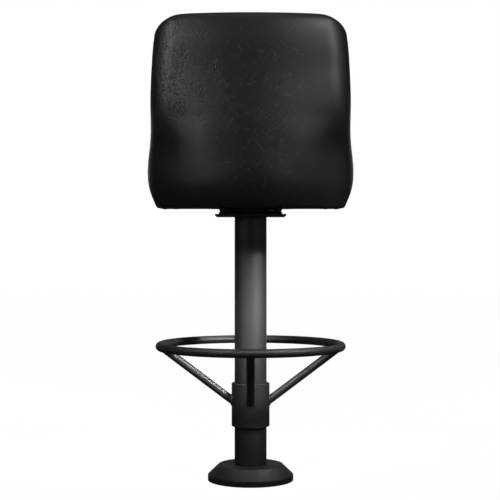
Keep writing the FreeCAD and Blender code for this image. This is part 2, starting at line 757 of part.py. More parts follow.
def rear_window(name, down):
    """What the back keeps, seen from behind: upper corners rounded."""
    half_wide = size("seat_width") / 2 + size("overrun")
    half_top = size("top_width") / 2
    shoulder = size("back_height") / 2
    low = -size("foot_drop") - size("overrun")
    corners = (
        (-half_wide, low, 0),
        (half_wide, low, 0),
        (half_wide, shoulder, 0),
        (half_top, size("back_height") - down, size("top_corner")),
        (-half_top, size("back_height") - down, size("top_corner")),
        (-half_wide, shoulder, 0),
    )
    placed = [(Vector(across, 0, up), radius) for across, up, radius in corners]
    return prism(name, placed, Vector(0, size("seat_rear") * 2, 0))


def slab(name, bottom, top):
    """A wide flat block between two heights."""
    reach = size("seat_width")
    block = doc.addObject("Part::Box", name)
    block.setExpression("Length", "sizes.seat_width * 2")
    block.setExpression("Width", "sizes.seat_width * 2")
    block.setExpression("Height", f"{top} - ({bottom})")
    block.Placement = Placement(Vector(-reach, -reach, sheet.evalExpression(bottom)), Rotation())
    return block


outside = bucket_block("bucket_outside", 0, 0, 1, 1)
skin_inset = size("skin_thickness")
shell_outside = bucket_block("shell_outside", skin_inset, skin_inset, 1, 2)
shell_inset = skin_inset + size("shell_wall")
shell_inside = bucket_block("shell_inside", shell_inset, shell_inset, 1, 3)
hollow = bucket_block("bucket_hollow", size("arm_wall"), size("back_wall"), -1, 4)
arm_window = side_window("side_window", 0, 0)
window = join("Common", "window", arm_window, rear_window("rear_window", 0))
shell_window = join(
    "Common",
    "shell_window",
    side_window("shell_side_window", size("shell_setback"), size("shell_drop")),
    rear_window("shell_rear_window", size("shell_drop")),
)


def runs_along(edge, surface):
    """Whether an edge lies on a surface."""
    first, last = edge.ParameterRange
    for share in EDGE_TEST_SHARES:
        point = Part.Vertex(edge.valueAt(first + (last - first) * share))
        if surface.distToShape(point)[0] > size("edge_nearness"):
            return False
    return True


def rounded_rim(name, piece, wall, radius):
    """A piece with its edges rounded where a wall meets the rim of the arms and wings, but for
    those of its foot."""
    doc.recompute()
    wall_faces = Part.Shell(wall.Shape.Faces)
    rim_faces = Part.Shell(arm_window.Shape.Faces)
    soft = doc.addObject("Part::Fillet", name)
    soft.Base = piece
    soft.Edges = [
        (number, radius, radius)
        for number, edge in enumerate(piece.Shape.Edges, 1)
        if edge.CenterOfMass.z > 0 and runs_along(edge, wall_faces) and runs_along(edge, rim_faces)
    ]
    return soft


outer_wall = join("Cut", "outer_wall", outside, shell_outside)
skin = join("Common", "skin", outer_wall, window)
keep(rounded_rim("soft_skin", skin, outside, size("cover_round")), "outer_back_cover", seat_base)

above_board = slab("above_board_foot", "0", "sizes.back_height + sizes.overrun")
shell_wall = join("Cut", "shell_wall_block", shell_outside, shell_inside)
shell_high = join("Common", "shell_high", shell_wall, above_board)
shell = join("Common", "shell", shell_high, shell_window)
keep(shell, "bucket_shell", seat_base)

# A roll of firm foam sits on the shell's edge and brings it out to the padded rim.
shell_rim = join("Common", "shell_rim", shell_high, window)
keep(join("Cut", "rim_roll", shell_rim, shell_window), "edge_roll", seat_base)

# The inside padding lies between the shell and the hollow. It stands on the seat board, and at
# the front it reaches down past the board's edge.
padding_block = join("Cut", "padding_block", shell_inside, hollow)
board_room = doc.addObject("Part::Box", "board_room")
board_room.setExpression("Length", "sizes.seat_width * 2")
board_room.setExpression("Width", "sizes.board_front + sizes.board_play + sizes.seat_width")
board_room.setExpression("Height", "sizes.board_thickness + sizes.foot_drop * 2")
board_room.Placement = Placement(
    Vector(-size("seat_width"), -size("board_front") - size("board_play"), -size("foot_drop") * 2),
    Rotation(),
)
padding_high = join("Cut", "padding_high", padding_block, board_room)
padding = join("Common", "padding", padding_high, window)


def upright_slice(name, left, right):
    """A tall block between two widths, as wide and high as the bucket otherwise."""
    block = doc.addObject("Part::Box", name)
    block.setExpression("Length", f"{right} - ({left})")
    block.setExpression("Width", "sizes.seat_width * 2")
    block.setExpression("Height", "sizes.back_height * 2")
    corner = Vector(sheet.evalExpression(left), -size("seat_width"), -size("back_height") / 2)
    block.Placement = Placement(corner, Rotation())
    return block


def pad_between(name, left, right):
    """The part of the inside padding between two widths."""
    return join("Common", name, padding, upright_slice(f"{name}_slice", left, right))


def side_pad(name, left, right):
    """A pad of one arm and wing, rounded along its front edges."""
    return rounded_rim(name, pad_between(f"plain_{name}", left, right), hollow, size("rim_round"))


half_panel = "sizes.back_pad_width / 2"
keep(pad_between("middle_pad", f"-{half_panel}", half_panel), "inside_back_pad", seat_base)
keep(side_pad("left_pad", half_panel, "sizes.seat_width"), "left_bolster", seat_base)
keep(side_pad("right_pad", "-sizes.seat_width", f"-{half_panel}"), "right_bolster", seat_base)

# Seat board, tee nuts and bolts

board_inset = shell_inset + size("board_play")
board_inside = bucket_block("board_inside", board_inset, board_inset, 1, 1)
board_slab = slab("board_slab", "0", "sizes.board_thickness")
board_front_edge = doc.addObject("Part::Box", "board_front_edge")
board_front_edge.setExpression("Length", "sizes.seat_width * 2")
board_front_edge.setExpression("Width", "sizes.board_front + sizes.seat_width")
board_front_edge.setExpression("Height", "sizes.board_thickness * 2 + sizes.foot_drop * 2")
board_front_edge.Placement = Placement(
    Vector(-size("seat_width"), -size("board_front"), -size("foot_drop") * 2), Rotation()
)
board_plan = join("Common", "board_plan", board_inside, board_front_edge)
board_blank = join("Common", "board_blank", board_plan, board_slab)

half_spacing = size("bolt_spacing") / 2
bolt_places = list(ring_places(math.hypot(half_spacing, half_spacing), SQUARE_CORNERS, EIGHTH_TURN))
tee_blank = join(
    "Fuse",
    "tee_blank",
    cylinder("tee_barrel_blank", "sizes.tee_barrel / 2", "sizes.board_thickness"),
    cylinder(
        "tee_flange_blank",
        "sizes.tee_flange / 2",
        "sizes.tee_sheet",
        "sizes.board_thickness - sizes.tee_sheet",
    ),
)
king_room = cylinder("king_room", "sizes.board_bore / 2", "sizes.board_thickness")
board_bored = join("Cut", "board_bored", board_blank, king_room)
board = join("Cut", "board", board_bored, copies("tee_rooms", tee_blank, bolt_places))
keep(board, "seat_board", seat_base)

tee_body = join(
    "Fuse",
    "tee_body",
    cylinder(
        "tee_barrel_solid",
        "sizes.tee_barrel / 2",
        "sizes.tee_depth",
        "sizes.board_thickness - sizes.tee_depth",
    ),
    cylinder(
        "tee_flange_solid",
        "sizes.tee_flange / 2",
        "sizes.tee_sheet",
        "sizes.board_thickness - sizes.tee_sheet",
    ),
)
tee_thread = cylinder("tee_thread", "sizes.bolt_diameter / 2", "sizes.board_thickness")
tee_nut = join("Cut", "tee_nut", tee_body, tee_thread)
keep(copies("tee_nut_set", tee_nut, bolt_places), "seat_tee_nuts", seat_base)

bolt_reach = "(sizes.plate_thickness + sizes.board_thickness - sizes.tee_sheet)"
seat_bolt = join(
    "Fuse",
    "seat_bolt",
    hexagon("bolt_cap", "sizes.bolt_key", "sizes.bolt_head"),
    cylinder("bolt_shank", "sizes.bolt_diameter / 2", bolt_reach, "sizes.bolt_head"),
)
bolt_foot = upper_plate_foot - size("bolt_head")
keep(copies("seat_bolt_set", seat_bolt, bolt_places), "seat_bolts", bolt_foot)

# Dust cloth round the swivel plate, under the board

cloth_inset = shell_inset + size("cloth_hem")
cloth_inside = bucket_block("cloth_inside", cloth_inset, cloth_inset, 1, 1)
cloth_slab = slab("cloth_slab", "-sizes.cloth_thickness", "0")
cloth_plan = join("Common", "cloth_plan", cloth_inside, board_front_edge)
cloth_blank = join("Common", "cloth_blank", cloth_plan, cloth_slab)
plate_room = doc.addObject("Part::Box", "plate_room")
plate_room.setExpression("Length", "sizes.plate_width + 2 * sizes.cloth_play")
plate_room.setExpression("Width", "sizes.plate_width + 2 * sizes.cloth_play")
plate_room.setExpression("Height", "sizes.foot_drop * 2")
room_half = size("plate_width") / 2 + size("cloth_play")
plate_room.Placement = Placement(Vector(-room_half, -room_half, -size("foot_drop")), Rotation())
keep(join("Cut", "cloth", cloth_blank, plate_room), "dust_cloth", seat_base)

# Seat cushion: side sections from one side to the other, lower and set back towards the sides.

# Each station as shares: across of the half width, and crown of the full crown.
CUSHION_SHARES = (
    (-1.0, 0.0),
    (-0.75, 0.55),
    (-0.35, 0.93),
    (0.0, 1.0),
    (0.35, 0.93),
    (0.75, 0.55),
    (1.0, 0.0),
)


def cushion_section(across, crown):
    """One side section of the cushion: flat on the board, with a lip over the board's front."""
    play = size("cushion_play")
    top = size("cushion_side_height") + crown
    front = -size("cushion_front") + size("cushion_crown") - crown
    board_edge = -size("board_front") - play
    rear = size("seat_rear")
    corners = (
        (board_edge, -size("cushion_lip"), 0),
        (board_edge, size("board_thickness"), 0),
        (rear, size("board_thickness"), 0),
        (rear, top, 0),
        (front, top, size("cushion_nose")),
        (front, -size("cushion_lip"), 0),
    )
    return rounded_wire([(Vector(across, along, up), radius) for along, up, radius in corners])


half_cushion = size("seat_width") / 2 - size("arm_wall") + size("overrun")
cushion_block = doc.addObject("Part::Feature", "cushion_block")
cushion_block.Shape = Part.makeLoft(
    [
        cushion_section(half_cushion * across_share, size("cushion_crown") * crown_share)
        for across_share, crown_share in CUSHION_SHARES
    ],
    True,
    False,
)
cushion_room = bucket_block(
    "cushion_room",
    size("arm_wall") + size("cushion_play"),
    size("back_wall") + size("cushion_play"),
    -1,
    2,
)
keep(join("Common", "cushion", cushion_block, cushion_room), "seat_cushion", seat_base)

doc.recompute()
for item in doc.Objects:
    if "Invalid" in item.State or "Error" in item.State:
        raise RuntimeError(f"{item.Name} is {item.State}")
for piece in pieces:
    if piece.Shape.isNull() or not piece.Shape.isValid() or not piece.Shape.Solids:
        raise RuntimeError(f"{piece.Label} has no valid solid")

os.makedirs("parts", exist_ok=True)
for piece in pieces:
    piece.Shape.exportStep(f"parts/{piece.Label}.step")
print(f"{len(pieces)} pieces written")
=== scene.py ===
# %% [markdown]
# # A bolt-down bar stool in black leather
# The stool is seen from behind. Its metal parts already have their true shape, so they only get a
# finish here. The padded bucket seat gets new pieces, because foam under leather swells, rounds
# off and creases in ways that a drawn solid doesn't.

import json
import math
from functools import cached_property

import bmesh
import bpy
from mathutils import Matrix, Vector, noise
from mathutils.bvhtree import BVHTree


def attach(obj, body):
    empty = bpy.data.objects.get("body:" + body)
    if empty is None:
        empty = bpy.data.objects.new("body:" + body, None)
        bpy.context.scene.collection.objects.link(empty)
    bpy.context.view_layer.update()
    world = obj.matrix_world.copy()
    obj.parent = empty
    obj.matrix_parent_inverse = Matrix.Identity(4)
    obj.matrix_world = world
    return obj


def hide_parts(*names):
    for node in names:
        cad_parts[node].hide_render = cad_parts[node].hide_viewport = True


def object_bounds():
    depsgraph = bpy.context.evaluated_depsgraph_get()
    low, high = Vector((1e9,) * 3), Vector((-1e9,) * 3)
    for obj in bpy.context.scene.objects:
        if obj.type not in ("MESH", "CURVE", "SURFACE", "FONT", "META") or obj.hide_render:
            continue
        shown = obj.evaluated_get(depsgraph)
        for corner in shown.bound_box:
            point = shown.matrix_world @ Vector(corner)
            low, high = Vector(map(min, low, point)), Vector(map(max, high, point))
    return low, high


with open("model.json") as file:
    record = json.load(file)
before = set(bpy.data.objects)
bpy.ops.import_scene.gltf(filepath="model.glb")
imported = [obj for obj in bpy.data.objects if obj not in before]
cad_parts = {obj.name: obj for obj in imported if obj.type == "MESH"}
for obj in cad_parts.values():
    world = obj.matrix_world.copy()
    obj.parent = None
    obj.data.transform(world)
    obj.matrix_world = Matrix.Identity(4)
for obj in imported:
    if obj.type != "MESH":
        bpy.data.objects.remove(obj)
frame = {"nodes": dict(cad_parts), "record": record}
cad_low, cad_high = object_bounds()
scene = bpy.context.scene
print("frame from", tuple(cad_low), "to", tuple(cad_high))

# %% [markdown]
# ## The camera
# The photograph is a level view from behind with a long lens, at about half the stool's height.
# Upright edges stay upright, and the foot ring, lower than the lens, shows as a thin ellipse. A
# camera that looked down would make the column lean, so this one is kept level too.

# %% Camera
LENS_MM = 85.0
SENSOR_MM = 36.0
CAMERA_PLACE = Vector((0.0014, 2.813, 0.5465))
SIGHT_LIMIT = 60.0

camera_data = bpy.data.cameras.new("camera")
camera_data.lens = LENS_MM
camera_data.sensor_width = SENSOR_MM
camera_data.clip_end = SIGHT_LIMIT
camera = bpy.data.objects.new("camera", camera_data)
scene.collection.objects.link(camera)
camera.location = CAMERA_PLACE
camera.rotation_euler = (math.radians(90), 0, math.radians(180))
scene.camera = camera
scene.view_settings.view_transform = "Standard"
print("camera", LENS_MM, "mm at", tuple(camera.location))

# %% [markdown]
# ## Writing a material as a formula
# A material is a sum of patterns. Wiring each sum by hand in the node editor hides the idea, so a
# small class wraps a socket and lets the pattern be written as it would be on paper, such as
# `creases * patches`. Every sum adds its own node.

# %% Signals
class Signal:
    """A number or colour that varies over a surface."""

    def __init__(self, finish, socket):
        self.finish = finish
        self.socket = socket

    def maths(self, operation, first, second):
        settings = {"operation": operation}
        return self.finish.add("ShaderNodeMath", settings, {0: first, 1: second})["Value"]

    def __add__(self, other):
        return self.maths("ADD", self, other)

    def __radd__(self, other):
        return self.maths("ADD", other, self)

    def __sub__(self, other):
        return self.maths("SUBTRACT", self, other)

    def __rsub__(self, other):
        return self.maths("SUBTRACT", other, self)

    def __mul__(self, other):
        return self.maths("MULTIPLY", self, other)

    def __rmul__(self, other):
        return self.maths("MULTIPLY", other, self)

    def larger(self, other):
        return self.maths("MAXIMUM", self, other)


class Outputs:
    """The outputs of a node, as signals."""

    def __init__(self, finish, node):
        self.finish = finish
        self.node = node

    def __getitem__(self, name):
        return Signal(self.finish, self.node.outputs[name])


print("signals can be added, subtracted, multiplied and compared")

# %% [markdown]
# ## One object for a material's nodes
# Every node comes from one method, which sets the node's own settings before its sockets, because
# a setting can change which sockets there are. A few named patterns are built on it.

# %% Finishes
class Finish:
    """The nodes of one material, or of the world. Everything but sums comes from add()."""

    def __init__(self, name, library=bpy.data.materials):
        self.owner = library.new(name)
        self.owner.use_nodes = True
        self.nodes = self.owner.node_tree.nodes
        self.links = self.owner.node_tree.links
        self.nodes.clear()

    @cached_property
    def place(self):
        """The place on the surface, in the piece's own coordinates."""
        return self.add("ShaderNodeTexCoord", {}, {})["Object"]

    def feed(self, socket, value):
        if isinstance(value, Signal):
            self.links.new(value.socket, socket)
        else:
            socket.default_value = value

    def add(self, kind, settings, sockets):
        """Add a node: its settings first, then the values or signals of its sockets."""
        node = self.nodes.new(kind)
        for name, value in settings.items():
            setattr(node, name, value)
        for name, value in sockets.items():
            self.feed(node.inputs[name], value)
        return Outputs(self, node)

    def cloud(self, size, detail=2.0, place=None):
        """Soft noise from 0 to 1, with blobs about as large as the size in metres."""
        sockets = {"Vector": place or self.place, "Scale": 1 / size, "Detail": detail}
        return self.add("ShaderNodeTexNoise", {}, sockets)["Fac"]

    def step(self, signal, low, high):
        """0 below the low value, 1 above the high one and smooth between them."""
        settings = {"interpolation_type": "SMOOTHSTEP"}
        sockets = {"Value": signal, "From Min": low, "From Max": high}
        return self.add("ShaderNodeMapRange", settings, sockets)["Result"]

    def colours(self, mask, low, high):
        """A colour between two others."""
        node = self.add("ShaderNodeMix", {"data_type": "RGBA"}, {}).node
        for name, value in (("Factor", mask), ("A", low), ("B", high)):
            socket = next(s for s in node.inputs if s.name == name and s.enabled)
            self.feed(socket, value if isinstance(value, Signal) else (*value, 1))
        return Signal(self, next(s for s in node.outputs if s.enabled))

    def relief(self, height, depth, strength=1.0):
        """A bump whose full height is the depth in metres."""
        sockets = {"Height": height, "Distance": depth, "Strength": strength}
        return self.add("ShaderNodeBump", {}, sockets)["Normal"]

    def show(self, shader, output="ShaderNodeOutputMaterial"):
        """Join the shader to the output, and give back the finished material or world."""
        self.add(output, {}, {"Surface": shader})
        return self.owner

    def surface(self, sockets):
        return self.show(self.add("ShaderNodeBsdfPrincipled", {}, sockets)["BSDF"])


print("patterns: cloud, step, colours and relief")

# %% [markdown]
# ## Powder coat
# The column, the foot ring and the plates are powder-coated: the powder melts into a satin film
# with a faint orange-peel ripple, so highlights are broad and slightly uneven. Plain black paint
# would look like plastic, so the ripple is a very shallow bump, and large patches change the
# gloss a little.

# %% Powder coat
POWDER_BLACK = (0.0030, 0.0030, 0.0031)
POWDER_WORN = (0.0055, 0.0055, 0.0055)
RIPPLE_SIZE = 0.0022
FILM_PATCH = 0.05


def powder_coat(name, roughness, peel_depth):
    finish = Finish(name)
    ripple = finish.cloud(RIPPLE_SIZE, 3.0)
    patches = finish.cloud(FILM_PATCH, 4.0)
    return finish.surface({
        "Base Color": finish.colours(patches, POWDER_BLACK, POWDER_WORN),
        "Roughness": roughness + (patches - 0.5) * 0.10 + (ripple - 0.5) * 0.06,
        "Normal": finish.relief(ripple, peel_depth),
        "Specular IOR Level": 0.5,
    })


finishes = {
    "powder_coat": powder_coat("powder_coat", 0.56, 0.00002),
    "race_paint": powder_coat("race_paint", 0.30, 0.00003),
}
print("painted finishes:", sorted(finishes))

# %% [markdown]
# ## Bare metals
# The fasteners are zinc-plated or blackened, the ball cage is pressed brass and the balls are
# polished. All four are metal with a mottle of their own grain size, so one formula makes them.

# %% Bare metals
METALS = {
    # the dark and the light colour of the mottle, the roughness and the grain size
    "black_screws": ((0.03, 0.03, 0.032), (0.07, 0.07, 0.07), 0.42, 0.004),
    "zinc_fasteners": ((0.42, 0.43, 0.45), (0.62, 0.62, 0.60), 0.34, 0.003),
    "cage_brass": ((0.55, 0.38, 0.16), (0.70, 0.52, 0.26), 0.32, 0.006),
    "ball_steel": ((0.60, 0.60, 0.61), (0.66, 0.66, 0.66), 0.14, 0.004),
}
GRAIN_DEPTH = 0.00002


def bare_metal(name, dark, light, roughness, grain_size):
    """Metal with fine mottling: zinc crystals, oxide film or rolling marks."""
    finish = Finish(name)
    mottle = finish.cloud(grain_size, 5.0)
    return finish.surface({
        "Base Color": finish.colours(mottle, dark, light),
        "Roughness": roughness + (mottle - 0.5) * 0.25,
        "Metallic": 1.0,
        "Normal": finish.relief(finish.cloud(grain_size / 4), GRAIN_DEPTH),
    })


for name, values in METALS.items():
    finishes[name] = bare_metal(name, *values)
print("bare metals:", sorted(METALS))

# %% [markdown]
# ## Plywood
# The shell and the seat board are birch ply. Its grain is noise stretched along X. A maker paints
# the wood black where it could shine through a seam or past an edge, so the paint follows zones
# round those places. Painting the whole shell would be simpler, but the hidden wood is bare.

# %% Plywood
PLY_DARK, PLY_LIGHT = (0.36, 0.22, 0.11), (0.62, 0.45, 0.27)
PAINT_DARK, PAINT_LIGHT = (0.003, 0.003, 0.003), (0.006, 0.006, 0.006)
PLY_STRETCH = (8.0, 160.0, 160.0)
PLY_DEPTH = 0.0002
# the share of its reach in which a zone is whole
ZONE_CORE = 0.45
# the centre and the reach along X, Y and Z of both seams, the front edge and the lower edge
PAINTED_PLACES = (
    ((0.125, 0, 0.93), (0.040, 2, 1)),
    ((-0.125, 0, 0.93), (0.040, 2, 1)),
    ((0, -0.20, 0.68), (2, 0.10, 2)),
    ((0, 0, 0.645), (2, 2, 0.03)),
)


def vector_maths(finish, operation, sockets, output="Vector"):
    return finish.add("ShaderNodeVectorMath", {"operation": operation}, sockets)[output]


def zone(finish, centre, reach):
    """1 at the centre, fading to 0 at the reach along X, Y and Z."""
    moved = vector_maths(finish, "SUBTRACT", {0: finish.place, 1: centre})
    scaled = vector_maths(finish, "DIVIDE", {0: moved, 1: reach})
    distance = vector_maths(finish, "LENGTH", {0: scaled}, "Value")
    return 1 - finish.step(distance, ZONE_CORE, 1.0)


def plywood():
    """Birch ply with its grain along X, painted black where a seam or an edge could show it."""
    finish = Finish("plywood")
    sockets = {"Vector": finish.place, "Scale": PLY_STRETCH}
    stretched = finish.add("ShaderNodeMapping", {}, sockets)["Vector"]
    grain = finish.cloud(1.0, 6.0, stretched)
    bare = finish.colours(grain, PLY_DARK, PLY_LIGHT)
    paint = finish.colours(grain, PAINT_DARK, PAINT_LIGHT)
    painted = zone(finish, *PAINTED_PLACES[0])
    for centre, reach in PAINTED_PLACES[1:]:
        painted = painted.larger(zone(finish, centre, reach))
    return finish.surface({
        "Base Color": finish.colours(finish.step(painted, 0.0, 0.2), bare, paint),
        "Roughness": 0.62 + grain * 0.12,
        "Normal": finish.relief(grain, PLY_DEPTH, 0.6),
    })


finishes["plywood"] = plywood()
print("plywood, painted in", len(PAINTED_PLACES), "places")

# %% [markdown]
# ## Dust cloth
# A thin felted cloth closes the underside of the seat. A woven pattern would be wrong, because
# felt has no threads, so fine noise stands for its fibres, and it is matt.

# %% Dust cloth
FIBRE_SIZE = 0.0015
FIBRE_DEPTH = 0.0004


def dust_cloth():
    finish = Finish("dust_cloth")
    fibres = finish.cloud(FIBRE_SIZE, 6.0)
    return finish.surface({
        "Base Color": finish.colours(fibres, (0.003, 0.003, 0.003), (0.008, 0.008, 0.008)),
        "Roughness": 0.9 + fibres * 0.05,
        "Normal": finish.relief(fibres, FIBRE_DEPTH),
    })


finishes["dust_cloth"] = dust_cloth()
print("fibres of", FIBRE_SIZE * 1000, "mm")

# %% [markdown]
# ## Lines on leather
# Black upholstery leather has three reliefs at once: a pebble grain of about a millimetre, crow's
# feet about a centimetre long where the hide is slack, and long hair-fine lines where it was
# pulled over the foam. Each is the net of borders in a pattern of cells. The nets of the grain
# and the crow's feet are cut through space. Such a net smears where a cell wall lies along the
# leather, so the hairs, which are the longest, use a flat one in the plane of the back.

# %% Lines on leather
HAIR_SQUEEZE = (0.10, 1, 0)
HAIR_WIDTH = 0.050
HAIR_GAP = 0.006
HAIR_GAP_EDGE = (0.42, 0.54)


def lines(finish, place, size, width, dimensions="3D"):
    """A net of thin lines, 1 on a line, with cells of about the size in metres."""
    sockets = {"Vector": place, "Scale": 1 / size}
    settings = {"feature": "DISTANCE_TO_EDGE", "voronoi_dimensions": dimensions}
    edge = finish.add("ShaderNodeTexVoronoi", settings, sockets)["Distance"]
    return 1 - finish.step(edge, 0.0, width)


def broken_lines(finish, place, size, width, gap_size, gap_low, gap_high):
    """Such a net with gaps, which open where a soft noise is low."""
    whole = lines(finish, place, size, width)
    return whole * finish.step(finish.cloud(gap_size), gap_low, gap_high)


def wander(finish, size, reach):
    """The place on the surface, pushed about by soft noise so that lines don't run straight."""
    sockets = {"Vector": finish.place, "Scale": 1 / size, "Detail": 2.0}
    push = finish.add("ShaderNodeTexNoise", {}, sockets)["Color"]
    centred = vector_maths(finish, "SUBTRACT", {0: push, 1: (0.5, 0.5, 0.5)})
    scaled = vector_maths(finish, "SCALE", {0: centred, "Scale": reach})
    return vector_maths(finish, "ADD", {0: finish.place, 1: scaled})


def hairs(finish, place, turn_deg, size):
    """Long thin lines, all turned about the same way in the plane of the back."""
    turned = (math.radians(90), 0, math.radians(turn_deg))
    flat = finish.add("ShaderNodeMapping", {}, {"Vector": place, "Rotation": turned})["Vector"]
    sockets = {"Vector": flat, "Scale": HAIR_SQUEEZE}
    long = finish.add("ShaderNodeMapping", {}, sockets)["Vector"]
    breaks = finish.step(finish.cloud(HAIR_GAP, 0.0, long), *HAIR_GAP_EDGE)
    return lines(finish, long, size, HAIR_WIDTH, "2D") * breaks


print("hairs are", 1 / HAIR_SQUEEZE[0], "times as long as wide")

# %% [markdown]
# ## Leather
# The film on a pulled line is thinner, so it is a little paler, and that paler colour is also a
# painted highlight, which stands for light caught on the edges of the lines. Slack and pulled
# leather are found in different places on the seat, and a zone fades each pattern out. On the
# back, the left shoulder is creased and the middle is pulled. Inside, the whole seat is softly
# creased.

# %% Leather
LEATHER_BLACK = (0.0032, 0.0030, 0.0029)
# the colour of the pulled lines: partly their thinner film, partly a painted highlight
LEATHER_PALE_AND_HIGHLIGHT = (0.030, 0.0295, 0.029)
LEATHER_RELIEF = 0.0005
PEBBLES = (0.0016, 0.35)
# the size and width of the lines, the size of their gaps, and where a gap starts and ends
FEET = (0.012, 0.12, 0.009, 0.40, 0.54)
TOES = (0.007, 0.15, 0.007, 0.44, 0.58)
# the turn in degrees and the size of the hairs that run one way, and of those that cross them
HAIR_SETS = ((36, 0.009), (-52, 0.011))
# the size of the noise that bends the lines, and how far it pushes them
SLACK_BENDS = (0.016, 0.0035)
PULLED_BENDS = (0.12, 0.030)
SLACK_PATCH = 0.04
GLOSS_PATCH = 0.08
LEFT_SHOULDER = ((0.145, 0.20, 0.945), (0.10, 0.25, 0.16))
MIDDLE_OF_BACK = ((-0.02, 0.22, 0.87), (0.17, 0.20, 0.26))
WHOLE_SEAT = ((0, 0, 0.85), (0.7, 0.7, 0.7))


def leather(name, roughness, creased, stretched):
    """Leather with crow's feet in the creased zone and pulled lines in the stretched one."""
    finish = Finish(name)
    loose = wander(finish, *SLACK_BENDS)
    bent = wander(finish, *PULLED_BENDS)
    pebbles = lines(finish, finish.place, *PEBBLES)
    feet = broken_lines(finish, loose, *FEET)
    toes = broken_lines(finish, loose, *TOES)
    slack = finish.step(finish.cloud(SLACK_PATCH), 0.40, 0.60)
    patches = zone(finish, *creased) * (0.35 + slack * 0.65)
    furrows = (feet + toes * 0.6) * patches
    strays = hairs(finish, bent, *HAIR_SETS[0]) + hairs(finish, bent, *HAIR_SETS[1])
    strays = strays * zone(finish, *stretched)
    height = (1 - pebbles) * 0.14 - furrows + strays * 0.10
    mottle = finish.cloud(GLOSS_PATCH, 3.0)
    return finish.surface({
        # the pulled lines are painted paler, partly for their thinner film and partly as a painted
        # highlight
        "Base Color": finish.colours(strays * 0.45, LEATHER_BLACK, LEATHER_PALE_AND_HIGHLIGHT),
        "Roughness": roughness + (mottle - 0.5) * 0.06 + furrows * 0.20,
        "Normal": finish.relief(height, LEATHER_RELIEF),
        "Specular IOR Level": 0.35,
    })


for name in ("back_leather", "rim_leather"):
    finishes[name] = leather(name, 0.40, LEFT_SHOULDER, MIDDLE_OF_BACK)
for name in ("pad_leather", "cushion_leather"):
    finishes[name] = leather(name, 0.42, WHOLE_SEAT, MIDDLE_OF_BACK)
print("leathers:", [name for name in finishes if "leather" in name])

# %% [markdown]
# ## Dressing the metal parts
# A carried-over part keeps its shape and its place. Only the material in its slot changes.

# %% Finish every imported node
for row in frame["record"]["subparts"]:
    node = frame["nodes"][row["node"]]
    node.data.materials.clear()
    node.data.materials.append(finishes[row["material_slot"]])

# %% [markdown]
# ## From a drawn solid to a padded piece
# Each padded piece starts from the solid that holds its place. Voxels give it an even mesh, and a
# few passes of smoothing round its cut edges as foam does under tension. Subdividing the solid
# itself would pinch at its long thin triangles.

# %% Helpers for padded pieces
VOXEL = 0.004
MERGE_REACH = 1e-5


def piece_of(form, name):
    """A new piece from a finished bmesh, which is freed."""
    mesh = bpy.data.meshes.new(name)
    form.to_mesh(mesh)
    form.free()
    piece = bpy.data.objects.new(name, mesh)
    scene.collection.objects.link(piece)
    return piece


def shape_of(name, node):
    """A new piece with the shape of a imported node, its loose triangles merged."""
    form = bmesh.new()
    form.from_mesh(frame["nodes"][node].data)
    bmesh.ops.remove_doubles(form, verts=form.verts, dist=MERGE_REACH)
    return piece_of(form, name)


def bake_modifiers(piece):
    """Make what the modifiers show the piece's own mesh."""
    shown = piece.evaluated_get(bpy.context.evaluated_depsgraph_get())
    mesh = bpy.data.meshes.new_from_object(shown)
    piece.modifiers.clear()
    piece.data = mesh


def voxels(piece, size):
    modifier = piece.modifiers.new("voxels", "REMESH")
    modifier.mode = "VOXEL"
    modifier.voxel_size = size
    bake_modifiers(piece)


print("voxels of", VOXEL * 1000, "mm")

# %% [markdown]
# ## Shaping by rule
# A small change of form, such as a hem that hangs lower behind, is written as a rule that gives
# each point its move. Sculpting by hand would do it too, but a rule can be read and changed.

# %% Helpers for shaping
def smooth_faces(mesh):
    for face in mesh.polygons:
        face.use_smooth = True


def edit(piece, change):
    """Run a change on the piece's mesh, in a bmesh."""
    form = bmesh.new()
    form.from_mesh(piece.data)
    change(form)
    form.to_mesh(piece.data)
    form.free()
    smooth_faces(piece.data)


def smooth(piece, passes):
    axes = {"use_axis_x": True, "use_axis_y": True, "use_axis_z": True}

    def change(form):
        for _ in range(passes):
            bmesh.ops.smooth_vert(form, verts=form.verts, factor=0.5, **axes)

    edit(piece, change)


def eased(value, low, high):
    """0 below the low value, 1 above the high one and smooth between them."""
    share = min(max((value - low) / (high - low), 0), 1)
    return share * share * (3 - 2 * share)


def pull(piece, rule):
    """Move each point of a piece up by what the rule gives for its place."""

    def change(form):
        for point in form.verts:
            point.co.z += rule(point.co)

    edit(piece, change)


def tree_of(piece):
    return BVHTree.FromObject(piece, bpy.context.evaluated_depsgraph_get())


print("halfway between 0 and 1, a rule gives", eased(0.5, 0, 1))

# %% [markdown]
# ## Foam under pressure
# A cushion is a bag of leather that the foam keeps tight. Cloth with pressure inside does the
# same: it bulges in the open and stays where it is glued. Inflating by a formula would miss the
# soft pleats that appear where the leather is held.

# %% Foam under pressure
PRESSURE = 4.0
PUFF_FRAMES = 20


def puff(piece, held, limit):
    """Swell a piece as foam swells its cover. Held points stay, and none moves past the limit."""
    rest = [point.co.copy() for point in piece.data.vertices]
    group = piece.vertex_groups.new(name="held")
    group.add(held, 1.0, "REPLACE")
    cloth = piece.modifiers.new("foam", "CLOTH")
    cloth.settings.use_pressure = True
    cloth.settings.uniform_pressure_force = PRESSURE
    cloth.settings.vertex_group_mass = group.name
    cloth.settings.effector_weights.gravity = 0
    cloth.point_cache.frame_end = PUFF_FRAMES
    for number in range(1, PUFF_FRAMES + 1):
        scene.frame_set(number)
    bake_modifiers(piece)
    scene.frame_set(1)
    for point, start in zip(piece.data.vertices, rest):
        move = point.co - start
        if move.length > limit:
            point.co = start + move * (limit / move.length)
    return max((point.co - start).length for point, start in zip(piece.data.vertices, rest))


print("pressure", PRESSURE, "over", PUFF_FRAMES, "frames")

